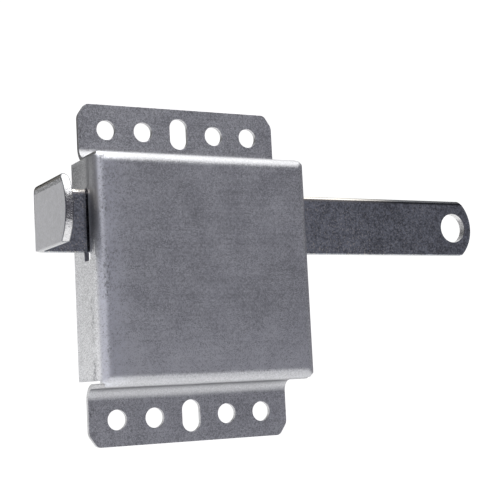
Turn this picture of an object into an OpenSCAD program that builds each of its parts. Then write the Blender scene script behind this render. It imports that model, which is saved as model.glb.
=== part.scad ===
// Slide lock for a roll-up door: a folded steel housing, a flat slide bolt with a
// bent finger tab and a padlock hole, and the spring that holds the bolt in place.
// The door's inner face is the plane y = 0 and the lock stands out from it towards -y.
// The bolt slides along x, and the origin is the middle of the housing's footprint.

/* [Housing] */
// Width of the folded box along the bolt
body_w = 93; // [84:0.5:120]
// Height of the folded box between its flanges
body_h = 89.6; // [86:0.2:120]
// Depth from the door to the front panel
body_d = 24.4; // [23.4:0.1:32]
// Thickness of the sheet steel
sheet_t = 1.9; // [1.2:0.1:2.2]
// Inner radius of every fold in the sheet
fold_r = 3.1; // [2:0.1:3.4]
// Gap between the ends of a side wall and the top and bottom walls
corner_gap = 0.9; // [0.4:0.1:2]
// Distance that the side walls stop short of the door
side_wall_short = 0.8; // [0.2:0.1:3]
// Radius of the relief punched at each corner of the box
relief_r = 1.3; // [0.8:0.1:1.8]
// Depth of that relief past the start of the front folds
relief_in = 2.5; // [1.5:0.1:3]

/* [Mounting flanges] */
// Height of each flange, from the box's top or bottom wall
flange_h = 22.6; // [20:0.1:30]
// Distance that each end of a flange stays inside the side walls
flange_inset = 3; // [2:0.1:6]
// Corner radius of the flanges
flange_corner_r = 6; // [2:0.5:8]
// Diameter of the round screw holes
hole_d = 7.94; // [5:0.01:9]
// Distance between neighbouring holes along a flange
hole_pitch = 15.875; // [14:0.125:17]
// Number of holes along a flange, the slotted one included
hole_count = 5; // [3:2:5]
// Distance from the middle of the holes to the flange's free edge
hole_edge = 10.25; // [8:0.05:13]
// Length of the slotted hole in the middle of each row
slot_l = 12.1; // [9:0.1:14]

/* [Slide bolt] */
// Thickness of the bar
bar_t = 3.2; // [2.5:0.1:4]
// Height of the bar
bar_h = 24.4; // [20:0.1:27]
// Height of the bar's middle above the middle of the housing
bar_z = 18.5; // [12:0.1:20]
// Distance of the bar's middle behind the front panel
bar_setback = 7.6; // [5:0.1:9]
// Reach of the bar past the housing in the position shown
bolt_reach = 88.7; // [75:0.1:110]
// Radius of the rounded ends of the bar and of the tab
end_r = 15.9; // [14:0.1:22]
// Diameter of the padlock hole
padlock_d = 12.7; // [6:0.1:14]
// Distance from the bar's tip to the middle of the padlock hole
padlock_in = 9.9; // [8.5:0.1:16]
// Reach of the finger tab from the bar's back face
tab_reach = 37.7; // [30:0.1:45]
// Inner radius of the bend between bar and tab
tab_bend_r = 1.6; // [1:0.1:3]

/* [Travel] */
// Travel of the bolt out of the position shown, until the tab meets the housing
travel_out = 17.5; // [10:0.1:25]
// Travel of the bolt back from the position shown, until the stop rivet meets the wall
travel_in = 60; // [40:0.5:61]
// Clearance left at both ends of the travel
stop_gap = 0.3; // [0.1:0.1:1]

/* [Guide slots] */
// Clearance between the bar's top edge and the guide slots
slot_gap_top = 0.2; // [0.1:0.05:0.4]
// Gap under the bar in the guide slots
slot_gap_bottom = 3; // [1:0.1:4]
// Clearance in front of and behind the bar in the guide slots
slot_gap_side = 1.4; // [0.4:0.1:1.6]
// Corner radius of the guide slots
slot_corner_r = 0.8; // [0.3:0.1:1.5]

/* [Stop rivet] */
// Diameter of the stop rivet's shank
stop_d = 6; // [4:0.1:7]
// Diameter of the stop rivet's front head
stop_head_d = 10; // [8.5:0.1:12]
// Height of the stop rivet's front head
stop_head_h = 2.6; // [2:0.1:3]
// Diameter of the stop rivet's formed end behind the bar
stop_tail_d = 8.4; // [7.5:0.1:11]
// Height of the stop rivet's formed end behind the bar
stop_tail_h = 3.4; // [2:0.1:5]

/* [Hold spring] */
// Thickness of the leaf spring
spring_t = 0.9; // [0.5:0.1:1.2]
// Width of the leaf spring
spring_w = 12; // [8:0.5:14]
// Clearance between the spring and the bar's bottom edge
spring_gap = 0.2; // [0.1:0.05:0.4]
// Gap between the spring's front edge and the start of the front folds
spring_edge_gap = 0.3; // [0.1:0.1:3]
// Height of the spring's riveted leg above the bottom wall
spring_leg_up = 6; // [2:0.5:12]
// Length of the spring's riveted leg
spring_leg_l = 20; // [18:0.5:24]
// Radius of the bend at the top of the riveted leg
spring_bend_r = 9; // [6:0.5:12]
// Radius of the bow that touches the bar
spring_bow_r = 8; // [5:0.5:12]
// Angle of the sloping stretch above the level
spring_slope = 28; // [22:1:40]
// Angle that the free tip turns down past the bow
spring_tip_angle = 34; // [10:1:50]
// Length of the straight end of the free tip
spring_tip_l = 5; // [2:0.5:8]

/* [Spring rivets] */
// Diameter of the rivets that hold the spring
rivet_d = 3.2; // [2.4:0.1:4]
// Diameter of their heads
rivet_head_d = 6; // [5:0.1:7]
// Height of their heads
rivet_head_h = 1.4; // [1:0.1:2]
// Distance between the two rivets
rivet_pitch = 11; // [8:0.5:14]
// Radial play of a rivet's shank in its hole
rivet_play = 0.05; // [0.02:0.01:0.1]

/* [Hidden] */
$fn = 72;
cut = 1;
arc_steps = 12;
fold_out = fold_r + sheet_t;
half_w = body_w / 2;
half_h = body_h / 2;
front_y = -body_d;
inner_half_w = half_w - sheet_t;
inner_half_h = half_h - sheet_t;
fold_start_y = front_y + fold_out;
flange_half_w = half_w - flange_inset;
flange_top = half_h + flange_h;
side_end_z = inner_half_h - corner_gap;
hole_z = flange_top - hole_edge;
bar_y = front_y + sheet_t + bar_setback;
bar_front_y = bar_y - bar_t / 2;
bar_back_y = bar_y + bar_t / 2;
bar_bottom = bar_z - bar_h / 2;
bar_top = bar_z + bar_h / 2;
bar_tip_x = half_w + bolt_reach;
padlock_x = bar_tip_x - padlock_in;
tab_bend_out = tab_bend_r + bar_t;
tab_inner_x = -half_w - travel_out - stop_gap;
tab_outer_x = tab_inner_x - bar_t;
tab_front_y = bar_back_y - tab_reach;
slot_bottom = bar_bottom - slot_gap_bottom;
slot_top = bar_top + slot_gap_top;
slot_half_y = bar_t / 2 + slot_gap_side;
stop_x = travel_in + stop_gap + stop_head_d / 2 - inner_half_w;
spring_leg_bottom = -inner_half_h + spring_leg_up;
spring_leg_top = spring_leg_bottom + spring_leg_l;
spring_crown_z = bar_bottom - spring_gap;
spring_front_y = fold_start_y + spring_edge_gap;
rivet_y = spring_front_y + spring_w / 2;
rivet_mid_z = spring_leg_bottom + spring_leg_l / 2;

// Extrudes a (y, z) outline along x, centred on the middle plane.
module along_x(length) {
    rotate([90, 0, 90]) linear_extrude(length, center = true) children();
}

// Extrudes an (x, z) outline towards -y from the plane y = start.
module towards_front(start, length) {
    translate([0, start, 0]) rotate([90, 0, 0]) linear_extrude(length) children();
}

// Quarter of a ring about the origin, in the quadrant of +x and +y.
module quarter_ring(r_in, thickness) {
    intersection() {
        difference() {
            circle(r_in + thickness);
            circle(r_in);
        }
        square(r_in + thickness);
    }
}

// Rectangle about the origin with round corners.
module round_rect(width, height, r) {
    square([width - 2 * r, height], center = true);
    square([width, height - 2 * r], center = true);
    for (x = [-1, 1], y = [-1, 1])
        translate([x * (width / 2 - r), y * (height / 2 - r)]) circle(r);
}

// Strip with full-round ends, standing upright about the origin.
module stadium(width, height) {
    square([width, height - width], center = true);
    for (s = [-1, 1])
        translate([0, s * (height - width) / 2]) circle(d = width);
}

// Solid box with round front edges: the housing's outer form, or its hollow when inset.
module box_form(inset, back_y) {
    r = fold_out - inset;
    mid_y = front_y + fold_out;
    intersection() {
        along_x(body_w - 2 * inset)
            box_outline(half_h - inset, r, mid_y, back_y);
        translate([0, 0, inset - half_h])
            linear_extrude(body_h - 2 * inset)
                mirror([1, 0]) rotate(90)
                    box_outline(half_w - inset, r, mid_y, back_y);
    }
}

// Outline of that box: the depth runs along x, and the two front corners are round.
module box_outline(half, r, mid_y, back_y) {
    translate([mid_y, -half]) square([back_y - mid_y, 2 * half]);
    translate([mid_y - r, r - half]) square([r + cut, 2 * (half - r)]);
    for (s = [-1, 1])
        translate([mid_y, s * (half - r)]) circle(r);
}

// Fold from the top wall out to the flange and the flange itself, and the same below.
module flange_outline() {
    for (s = [0, 1])
        mirror([0, s]) {
            translate([-fold_out - cut, inner_half_h]) square([cut, sheet_t]);
            translate([-fold_out, half_h + fold_r]) mirror([0, 1]) quarter_ring(fold_r, sheet_t);
            translate([-sheet_t, half_h + fold_r]) square([sheet_t, flange_h - fold_r]);
        }
}

// Relief that parts a side wall from the top wall and ends in a punched hole.
module corner_relief() {
    relief_y = fold_start_y - relief_in + relief_r;
    translate([flange_half_w, relief_y, side_end_z])
        cube([half_w - flange_half_w + cut, cut - relief_y, half_h - side_end_z + cut]);
    translate([(flange_half_w + half_w) / 2, relief_y, (side_end_z + half_h) / 2])
        rotate([0, 45, 0]) cylinder(r = relief_r, h = 2 * fold_out, center = true);
}

module guide_slot_outline() {
    translate([bar_y, (slot_top + slot_bottom) / 2])
        round_rect(2 * slot_half_y, slot_top - slot_bottom, slot_corner_r);
}

module flange_corner_cut() {
    translate([flange_half_w - flange_corner_r, cut, flange_top - flange_corner_r])
        rotate([90, 0, 0])
            linear_extrude(sheet_t + 2 * cut)
                difference() {
                    square(flange_corner_r + cut);
                    circle(flange_corner_r);
                }
}

// Row of screw holes with the slotted one in the middle, as an (x, z) outline.
module hole_row_outline() {
    last = (hole_count - 1) / 2;
    for (i = [-last : last])
        translate([i * hole_pitch, hole_z])
            if (i == 0)
                stadium(hole_d, slot_l);
            else
                circle(d = hole_d);
}

module housing() {
    color([0.62, 0.64, 0.66])
        difference() {
            union() {
                difference() {
                    box_form(0, -fold_out);
                    box_form(sheet_t, cut);
                }
                along_x(2 * flange_half_w) flange_outline();
                for (s = [0, 1])
                    mirror([s, 0, 0])
                        translate([inner_half_w, fold_start_y, -side_end_z])
                            cube([sheet_t, -side_wall_short - fold_start_y, 2 * side_end_z]);
            }
            for (sx = [0, 1], sz = [0, 1])
                mirror([sx, 0, 0]) mirror([0, 0, sz]) {
                    corner_relief();
                    flange_corner_cut();
                }
            for (s = [0, 1])
                mirror([0, 0, s]) towards_front(cut, sheet_t + 2 * cut) hole_row_outline();
            along_x(body_w + 2 * cut) guide_slot_outline();
            spring_rivet_shanks(rivet_d / 2 + rivet_play, cut);
        }
}

// Cross-section of the bar with full-round edges.
module bar_section() {
    stadium(bar_t, bar_h);
}

// Outline of a bar whose end is an arc: it starts at 0 and its tip is at the given length.
module arc_ended_outline(length) {
    half = bar_h / 2;
    rise = end_r - sqrt(end_r * end_r - half * half);
    translate([0, -half]) square([length - rise, bar_h]);
    intersection() {
        translate([length - end_r, 0]) circle(end_r);
        translate([length - rise - cut, -half]) square([rise + 2 * cut, bar_h]);
    }
}

module slide_bolt() {
    bend_x = tab_outer_x + tab_bend_out;
    bend_y = bar_back_y - tab_bend_out;
    color([0.36, 0.38, 0.42])
        difference() {
            union() {
                // Straight bar, cut to its arc end
                intersection() {
                    translate([(bend_x + bar_tip_x) / 2, bar_y, bar_z])
                        along_x(bar_tip_x - bend_x) bar_section();
                    translate([bend_x, 0, bar_z])
                        towards_front(0, body_d) arc_ended_outline(bar_tip_x - bend_x);
                }
                // Bend of a quarter turn towards the user
                translate([bend_x, bend_y, bar_z])
                    rotate([0, 0, 90])
                        rotate_extrude(angle = 90)
                            translate([tab_bend_r + bar_t / 2, 0]) bar_section();
                // Finger tab, cut to its arc end
                intersection() {
                    translate([tab_outer_x + bar_t / 2, (bend_y + tab_front_y) / 2, bar_z])
                        rotate([0, 0, 90]) along_x(bend_y - tab_front_y) bar_section();
                    translate([tab_outer_x, bend_y, bar_z])
                        rotate([0, 0, -90])
                            translate([0, bar_t + cut, 0])
                                towards_front(0, bar_t + 2 * cut)
                                    arc_ended_outline(bend_y - tab_front_y);
                }
            }
            translate([padlock_x, bar_back_y + cut, bar_z])
                rotate([90, 0, 0]) cylinder(d = padlock_d, h = bar_t + 2 * cut);
            translate([stop_x, bar_back_y + cut, bar_z])
                rotate([90, 0, 0]) cylinder(r = stop_d / 2 + rivet_play, h = bar_t + 2 * cut);
        }
}

// Low round rivet head on the plane z = 0, as part of a ball.
module rivet_head(diameter, height) {
    ball_r = (diameter * diameter / 4 + height * height) / (2 * height);
    intersection() {
        translate([0, 0, height - ball_r]) sphere(ball_r);
        cylinder(d = diameter + cut, h = height);
    }
}

module stop_rivet() {
    color([0.55, 0.56, 0.58])
        translate([stop_x, 0, bar_z]) {
            translate([0, bar_back_y + stop_tail_h / 2, 0])
                rotate([90, 0, 0])
                    cylinder(d = stop_d, h = bar_t + (stop_tail_h + stop_head_h) / 2);
            translate([0, bar_front_y, 0])
                rotate([90, 0, 0]) rivet_head(stop_head_d, stop_head_h);
            translate([0, bar_back_y, 0])
                rotate([-90, 0, 0]) cylinder(d = stop_tail_d, h = stop_tail_h);
        }
}

// Points along an arc of the (x, z) outline.
function arc_points(centre, r, from, to) = [
    for (i = [0 : arc_steps])
        let (a = from + (to - from) * i / arc_steps)
            centre + r * [cos(a), sin(a)]
];

// The leaf spring as an (x, z) outline: a leg on the right wall, a bend, a sloping
// stretch up to the bow under the bar, and a free tip that turns down.
module spring_outline() {
    half_t = spring_t / 2;
    turn = 90 - spring_slope;
    tip_turn = 90 + spring_tip_angle;
    leg_x = inner_half_w - half_t;
    bend_c = [leg_x - spring_bend_r, spring_leg_top];
    bend_end = bend_c + spring_bend_r * [cos(turn), sin(turn)];
    bow_c_z = spring_crown_z - half_t - spring_bow_r;
    slope_l = (bow_c_z + spring_bow_r * sin(turn) - bend_end[1]) / sin(spring_slope);
    bow_c_x = bend_end[0] - slope_l * cos(spring_slope) - spring_bow_r * cos(turn);
    bow_c = [bow_c_x, bow_c_z];
    tip_dir = [-sin(tip_turn), cos(tip_turn)];
    tip = bow_c + spring_bow_r * [cos(tip_turn), sin(tip_turn)] + spring_tip_l * tip_dir;
    tip_side = half_t * [cos(tip_turn), sin(tip_turn)];
    polygon(concat(
        [[leg_x + half_t, spring_leg_bottom]],
        arc_points(bend_c, spring_bend_r + half_t, 0, turn),
        arc_points(bow_c, spring_bow_r + half_t, turn, tip_turn),
        [tip + tip_side, tip - tip_side],
        arc_points(bow_c, spring_bow_r - half_t, tip_turn, turn),
        arc_points(bend_c, spring_bend_r - half_t, turn, 0),
        [[leg_x - half_t, spring_leg_bottom]]
    ));
}

// Places its children at the two rivets, on the plane x = 0.
module at_spring_rivets() {
    for (s = [-0.5, 0.5])
        translate([0, rivet_y, rivet_mid_z + s * rivet_pitch]) children();
}

// The two rivets' shanks through the right wall and the spring's leg, or the holes for
// them, with extra length at both ends.
module spring_rivet_shanks(r, extra) {
    at_spring_rivets()
        translate([inner_half_w - spring_t - extra, 0, 0])
            rotate([0, 90, 0]) cylinder(r = r, h = spring_t + sheet_t + 2 * extra);
}

module hold_spring() {
    color([0.5, 0.52, 0.56])
        difference() {
            towards_front(spring_front_y + spring_w, spring_w) spring_outline();
            spring_rivet_shanks(rivet_d / 2 + rivet_play, cut);
        }
}

module spring_rivets() {
    color([0.7, 0.71, 0.72]) {
        spring_rivet_shanks(rivet_d / 2, rivet_head_h / 2);
        at_spring_rivets() {
            translate([inner_half_w - spring_t, 0, 0])
                rotate([0, -90, 0]) rivet_head(rivet_head_d, rivet_head_h);
            translate([half_w, 0, 0])
                rotate([0, 90, 0]) rivet_head(rivet_head_d, rivet_head_h);
        }
    }
}

housing();
slide_bolt();
stop_rivet();
hold_spring();
spring_rivets();
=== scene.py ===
"""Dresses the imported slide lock: folded galvanised housing, plated bolt, stop rivet and spring."""

import math

import bmesh
import bpy
from bpy.props import FloatProperty, FloatVectorProperty, IntProperty, PointerProperty
from bpy.types import Operator, Panel, PropertyGroup
from mathutils import Matrix, Vector


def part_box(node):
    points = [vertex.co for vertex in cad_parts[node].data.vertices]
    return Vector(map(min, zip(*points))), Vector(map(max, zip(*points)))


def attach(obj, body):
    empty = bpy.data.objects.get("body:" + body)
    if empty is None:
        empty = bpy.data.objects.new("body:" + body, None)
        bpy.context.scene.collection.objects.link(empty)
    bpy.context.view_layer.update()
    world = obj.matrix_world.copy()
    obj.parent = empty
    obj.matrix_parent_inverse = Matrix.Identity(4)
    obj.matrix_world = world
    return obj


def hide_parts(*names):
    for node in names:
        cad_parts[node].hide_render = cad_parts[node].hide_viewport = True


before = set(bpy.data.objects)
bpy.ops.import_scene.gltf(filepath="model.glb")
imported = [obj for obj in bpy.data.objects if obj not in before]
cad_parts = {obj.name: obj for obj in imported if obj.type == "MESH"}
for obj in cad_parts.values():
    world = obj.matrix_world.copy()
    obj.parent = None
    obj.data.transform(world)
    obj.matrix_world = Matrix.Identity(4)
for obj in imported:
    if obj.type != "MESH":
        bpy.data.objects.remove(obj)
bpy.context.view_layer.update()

bl_info = {
    "name": "Roll-up Door Slide Lock",
    "version": (1, 0, 0),
    "blender": (4, 5, 0),
    "location": "View3D > Sidebar > Slide Lock",
    "description": "Builds the visible pieces of a slide lock round its packed CAD frame",
    "category": "Add Mesh",
}

HOUSING_LOW, HOUSING_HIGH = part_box("housing")
BOLT_LOW, BOLT_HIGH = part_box("slide_bolt")
STOP_LOW, STOP_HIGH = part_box("stop_rivet")
SPRING_LOW, SPRING_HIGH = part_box("hold_spring")
SPRING_RIVETS_LOW, SPRING_RIVETS_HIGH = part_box("spring_rivets")

# Lengths in metres
CUT_MARGIN = 0.002
SPRING_CUT = 0.012
RELIEF_MARGIN = 0.001
RIVET_CLEARANCE = 0.00005
SPRING_GAP = 0.0002
STOP_ROUND, RIVET_ROUND, SPRING_ROUND = 0.0003, 0.0002, 0.00015
MERGE_DISTANCE = 2e-6

# Steps of the round forms
PADLOCK_HOLE_SIDES, ROUND_HOLE_SIDES, SMALL_HOLE_SIDES = 96, 64, 32
BEND_STEPS, WIDE_BEND_STEPS, BEND_REST_STEPS, FLOOR_BEND_STEPS = 14, 12, 3, 16
STOP_SIDES, RIVET_SIDES, DOME_STEPS, CORNER_STEPS = 48, 40, 8, 5

FLAT_ANGLE, SHARP_ANGLE = math.radians(0.3), math.radians(35)

# The front panel's sides: the axis that points out of each, 0 for x or 2 for z, and its sign
SIDES = ((0, 1), (0, -1), (2, 1), (2, -1))


def length(name, description, default):
    """A length property in metres, shown in the scene's unit."""
    return FloatProperty(
        name=name, description=description, default=default, min=0.0, max=1.0,
        unit="LENGTH", precision=5,
    )


def angle(name, description, degrees):
    """An angle property."""
    return FloatProperty(
        name=name, description=description, default=math.radians(degrees), subtype="ANGLE",
    )


def colour(name, description, default):
    """A colour property."""
    return FloatVectorProperty(
        name=name, description=description, default=default, min=0.0, max=1.0,
        size=3, subtype="COLOR",
    )


class HousingSizes(PropertyGroup):
    """Sizes of the folded housing and its flanges."""

    box_width: length("Box width", "Width of the folded box", HOUSING_HIGH.x - HOUSING_LOW.x)
    box_height: length("Box height", "Height of the folded box between the flanges", 0.0896)
    box_depth: length("Box depth", "Depth from the door to the front panel", -HOUSING_LOW.y)
    sheet: length("Sheet", "Thickness of the sheet steel", 0.0019)
    fold_radius: length("Fold radius", "Inner radius of every fold", 0.0031)
    wall_end: length("Wall end", "Distance from the middle to a side wall's bottom end", 0.042)
    wall_rise: length("Wall rise", "What a side wall's top end is further from the middle", 0.0006)
    wall_short: length("Wall short", "Distance that the side walls stop short of the door", 0.0008)
    notch_radius: length("Notch radius", "Radius of the punched corner reliefs", 0.0009)
    notch_depth: length("Notch depth", "Reach of a relief's middle into the fold", 0.0023)
    flange_fold: length("Flange fold", "Radius of the hollow fold before a flange", 0.0048)
    flange_width: length("Flange width", "Width of the flanges", 0.087)
    flange_corner: length("Flange corner", "Width of the cut flange corners", 0.0034)
    flange_corner_rise: length("Flange corner height", "Height of the cut flange corners", 0.0049)
    corner_round: length("Corner round", "Rounding at both ends of a cut corner", 0.0013)
    hole: length("Hole", "Diameter of the screw holes", 0.00794)
    hole_pitch: length("Hole pitch", "Distance between neighbouring holes", 0.015875)
    hole_rise: length("Hole rise", "Distance from the middle to a row of holes", 0.05715)
    hole_side: IntProperty(
        name="Holes beside the slot", description="Round holes on each side of the slotted one",
        default=2, min=1, max=2,
    )
    slot: length("Slotted hole", "Length of the slotted hole", 0.0127)
    guide_low: length("Guide bottom", "Height of the guide slots' lower end", 0.0033)
    guide_high: length("Guide top", "Height of the guide slots' upper end", 0.0309)
    guide_half: length("Guide half width", "Half the width of the guide slots", 0.003)
    guide_corner: length("Guide corner", "Corner radius of the guide slots", 0.0008)
    edge_round: length("Edge round", "Rounding of the sheared edges", 0.0001)
    corner_share: FloatProperty(
        name="Corner share", description="Rounding of a front corner as a share of its fold",
        default=0.49, min=0.4, max=1.0,
    )


class BoltSizes(PropertyGroup):
    """Sizes of the slide bolt."""

    bar: length("Bar", "Thickness of the bar", 0.0032)
    bend: length("Bend", "Inner radius of the tab's bend", 0.0016)
    end_radius: length("End radius", "Radius of both rounded ends", 0.0159)
    crown_top: length("Top crown", "Height of the bar's rounded upper edge", 0.0024)
    crown_bottom: length("Bottom crown", "Height of the bar's rounded lower edge", 0.0004)
    padlock_hole: length("Padlock hole", "Diameter of the padlock hole", 0.0127)
    padlock_in: length("Padlock hole in", "Distance from the bar's tip to the padlock hole", 0.0099)
    edge_round: length("Edge round", "Rounding of the sheared ends", 0.0002)
    hole_round: length("Hole round", "Rounding of the holes' edges", 0.0001)


class SmallPartSizes(PropertyGroup):
    """Sizes of the rivets and of the spring."""

    stop_shank: length("Stop shank", "Diameter of the stop rivet's shank", 0.006)
    stop_head: length("Stop head", "Height of the stop rivet's front head", 0.0026)
    stop_tail: length("Stop tail", "Diameter of the stop rivet's formed end", 0.0084)
    stop_tail_rise: length("Stop tail height", "Height of the formed end", 0.0034)
    spring: length("Spring", "Thickness of the spring", 0.0009)
    leg: length("Spring leg", "Length of the spring's riveted leg", 0.02)
    leg_bend: length("Leg bend", "Radius of the bend above the leg", 0.009)
    bow: length("Spring bow", "Radius of the bow under the bar", 0.008)
    tip: length("Spring tip", "Length of the free tip's straight end", 0.005)
    slope: angle("Slope", "Angle of the sloping stretch above the level", 28)
    tip_angle: angle("Tip angle", "Angle that the free tip turns down past the bow", 34)
    rivet: length("Rivet", "Diameter of the spring rivets' shanks", 0.0032)
    rivet_head: length("Rivet head", "Diameter of the spring rivets' heads", 0.006)
    rivet_head_rise: length("Rivet head height", "Height of the spring rivets' heads", 0.0014)
    rivet_pitch: length("Rivet pitch", "Distance between the spring rivets", 0.011)


class FinishColours(PropertyGroup):
    """Colours of the finishes."""

    sheet: colour("Sheet", "Galvanised sheet", (0.672, 0.675, 0.688))
    # The dark shade is also the painted shade of the left wall's strip and of the underside between
    # the bottom folds
    sheet_scuffs_and_painted_shade: colour("Sheet, dark", "Dark clouds and scuffs of the sheet", (0.24, 0.24, 0.255))
    # The light shade is also the painted highlight beside the left fold
    sheet_light_and_painted_highlight: colour("Sheet, light", "Stretched zinc at the folds", (0.80, 0.81, 0.85))
    sheared: colour("Sheared steel", "Sheared and punched edges", (0.62, 0.62, 0.63))
    # The slot edges' dark colour is painted shade for the shade inside the guide slots
    slot: colour("Slot edges", "Dark, greasy edges of the guide slots", (0.28, 0.28, 0.32))
    bar: colour("Bar", "Plated bar", (0.337, 0.352, 0.378))
    # The tab face colour is a painted reflection laid over the tab's face
    tab: colour("Tab face", "Hand-worn plating of the finger tab", (0.33, 0.318, 0.328))
    # The near-white of the bar ends is partly a painted highlight on the cut steel
    bar_end: colour("Bar ends", "Sheared ends of the bar", (0.93, 0.92, 0.93))
    # The speck colour is also the painted highlight along the bar's upper edge
    bar_speck_and_painted_highlight: colour("Bar specks", "Warm specks of the plated bar", (0.80, 0.76, 0.70))
    rivet: colour("Rivets", "Plated rivets", (0.45, 0.45, 0.46))
    spring: colour("Spring", "Tempered spring steel", (0.20, 0.21, 0.24))
    backdrop: colour("Backdrop", "Floor and backdrop", (0.85, 0.85, 0.85))


class StudioSettings(PropertyGroup):
    """Camera and lamp."""

    azimuth: angle("Azimuth", "Camera's turn round the lock", -28.318)
    elevation: angle("Elevation", "Camera's angle above the level", -5.88)
    roll: angle("Roll", "Camera's turn about its own line of sight", -2.909)
    place: FloatVectorProperty(
        name="Place", description="Camera's place", default=(-0.20837, -0.44237, -0.04689),
        size=3, subtype="TRANSLATION", unit="LENGTH", precision=5,
    )
    lens: FloatProperty(name="Lens", description="Focal length", default=87.04, unit="CAMERA")
    shift: FloatVectorProperty(
        name="Shift", description="Camera's lens shift", default=(0.00477, 0.02415), size=2,
    )
    floor_drop: length("Floor drop", "Distance of the floor below the lock's middle", 0.35)
    overhead: FloatProperty(
        name="Overhead lamp", description="Power of the soft lamp overhead", default=4.6,
        unit="POWER",
    )


class SlideLockSettings(PropertyGroup):
    """All settings of the slide lock."""

    housing: PointerProperty(type=HousingSizes)
    bolt: PointerProperty(type=BoltSizes)
    small: PointerProperty(type=SmallPartSizes)
    colours: PointerProperty(type=FinishColours)
    studio: PointerProperty(type=StudioSettings)


def adds(operation, swap=False):
    """A Wire's operator, which adds a Math node."""
    return lambda wire, other: wire.math(operation, other, swap=swap)


class Wire:
    """A socket's output that takes part in Python sums, each of which adds a Math node."""

    def __init__(self, paint, socket):
        self.paint = paint
        self.socket = socket

    def math(self, operation, *others, clamp=False, swap=False):
        """A Math node on this value and the others, in that order or swapped."""
        values = [self, *others]
        if swap:
            values.reverse()
        settings = {"operation": operation, "use_clamp": clamp}
        return self.paint.node("Math", settings, dict(enumerate(values)))

    __add__, __radd__ = adds("ADD"), adds("ADD", swap=True)
    __sub__, __rsub__ = adds("SUBTRACT"), adds("SUBTRACT", swap=True)
    __mul__, __rmul__ = adds("MULTIPLY"), adds("MULTIPLY", swap=True)
    __truediv__, __rtruediv__ = adds("DIVIDE"), adds("DIVIDE", swap=True)

    def __abs__(self):
        return self.math("ABSOLUTE")

    def clamped(self):
        """The value held between 0 and 1."""
        return self.math("ADD", 0.0, clamp=True)

    def swing(self, amount):
        """A noise's swing about its middle, times an amount."""
        return (self - 0.5) * amount

    def ramp(self, low, high):
        """0 below low, 1 above high and smooth between them; low may be the larger."""
        settings = {"interpolation_type": "SMOOTHSTEP"}
        values = {"Value": self, "From Min": low, "From Max": high, "To Min": 0.0, "To Max": 1.0}
        return self.paint.node("MapRange", settings, values)

    def band(self, middle, reach):
        """1 at the middle, falling to 0 at that reach on both sides."""
        return abs(self - middle).ramp(reach, 0.0)


class Paint:
    """A material, or a world, under construction."""

    def __init__(self, owner):
        self.material = bpy.data.materials.new(owner) if isinstance(owner, str) else owner
        self.material.use_nodes = True
        self.tree = self.material.node_tree
        self.tree.nodes.clear()
        self.here = self.node("TexCoord", output="Object")

    def node(self, kind, settings=None, values=None, output=0):
        """Adds a node of that kind, sets its settings, then its sockets, and returns an output."""
        made = self.tree.nodes.new("ShaderNode" + kind)
        for key, value in (settings or {}).items():
            setattr(made, key, value)
        for key, value in (values or {}).items():
            if isinstance(value, Wire):
                self.tree.links.new(value.socket, made.inputs[key])
            else:
                made.inputs[key].default_value = value
        return Wire(self, made.outputs[output]) if len(made.outputs) else None

    def axes(self):
        """The x, y and z of a point on the piece."""
        split = self.node("SeparateXYZ", None, {"Vector": self.here}).socket.node
        return [Wire(self, out) for out in split.outputs]

    def stretched(self, scale, move=(0.0, 0.0, 0.0)):
        """The point scaled by a number for each axis, then moved."""
        return self.node("Mapping", None, {"Vector": self.here, "Location": move, "Scale": scale})

    def noise(self, size, detail=3.0, rough=0.5, at=None, move=None, twist=0.0):
        """Soft noise from 0 to 1 whose features have that size in metres."""
        if move:
            at = self.stretched((1.0, 1.0, 1.0), move)
        values = {
            "Vector": at or self.here, "Scale": 1.0 / size, "Detail": detail,
            "Roughness": rough, "Distortion": twist,
        }
        return self.node("TexNoise", None, values)

    def lines(self, per_metre, detail, rough):
        """Noise drawn out into lines, by how many features a metre has along each axis."""
        return self.noise(1.0, detail, rough, at=self.stretched(per_metre))

    def mix(self, share, first, second):
        """A colour mixed from two by a share."""
        values = {0: share, 6: opaque(first), 7: opaque(second)}
        return self.node("Mix", {"data_type": "RGBA"}, values, output=2)

    def bump(self, height, strength, depth, under=None):
        """A normal from a height, over the normal of a coarser bump."""
        values = {"Height": height, "Strength": strength, "Distance": depth}
        if under:
            values["Normal"] = under
        return self.node("Bump", None, values)

    def shades(self, share, colour, dark, light):
        """Starts the base colour with a darker and a lighter shade of one colour."""
        self.base = self.mix(share, scaled(colour, dark), scaled(colour, light))

    def coat(self, share, colour, factor=1.0):
        """Lays a colour, times a factor, over the base colour by a share."""
        self.base = self.mix(share, self.base, scaled(colour, factor))

    def metal(self, roughness, normal):
        """Ends the material in a metal surface of the base colour and returns it."""
        values = {"Base Color": self.base, "Roughness": roughness, "Normal": normal}
        values["Metallic"] = 1.0
        return self.done(self.node("BsdfPrincipled", None, values))

    def done(self, surface):
        """Ends the material in a surface and returns it."""
        self.node("OutputMaterial", None, {"Surface": surface})
        return self.material


def opaque(value):
    """A plain colour as four numbers; a wire stays as it is."""
    return value if isinstance(value, Wire) else (*value, 1.0)


def scaled(value, factor):
    """A plain colour times a number."""
    return tuple(min(1.0, part * factor) for part in value)


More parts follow.
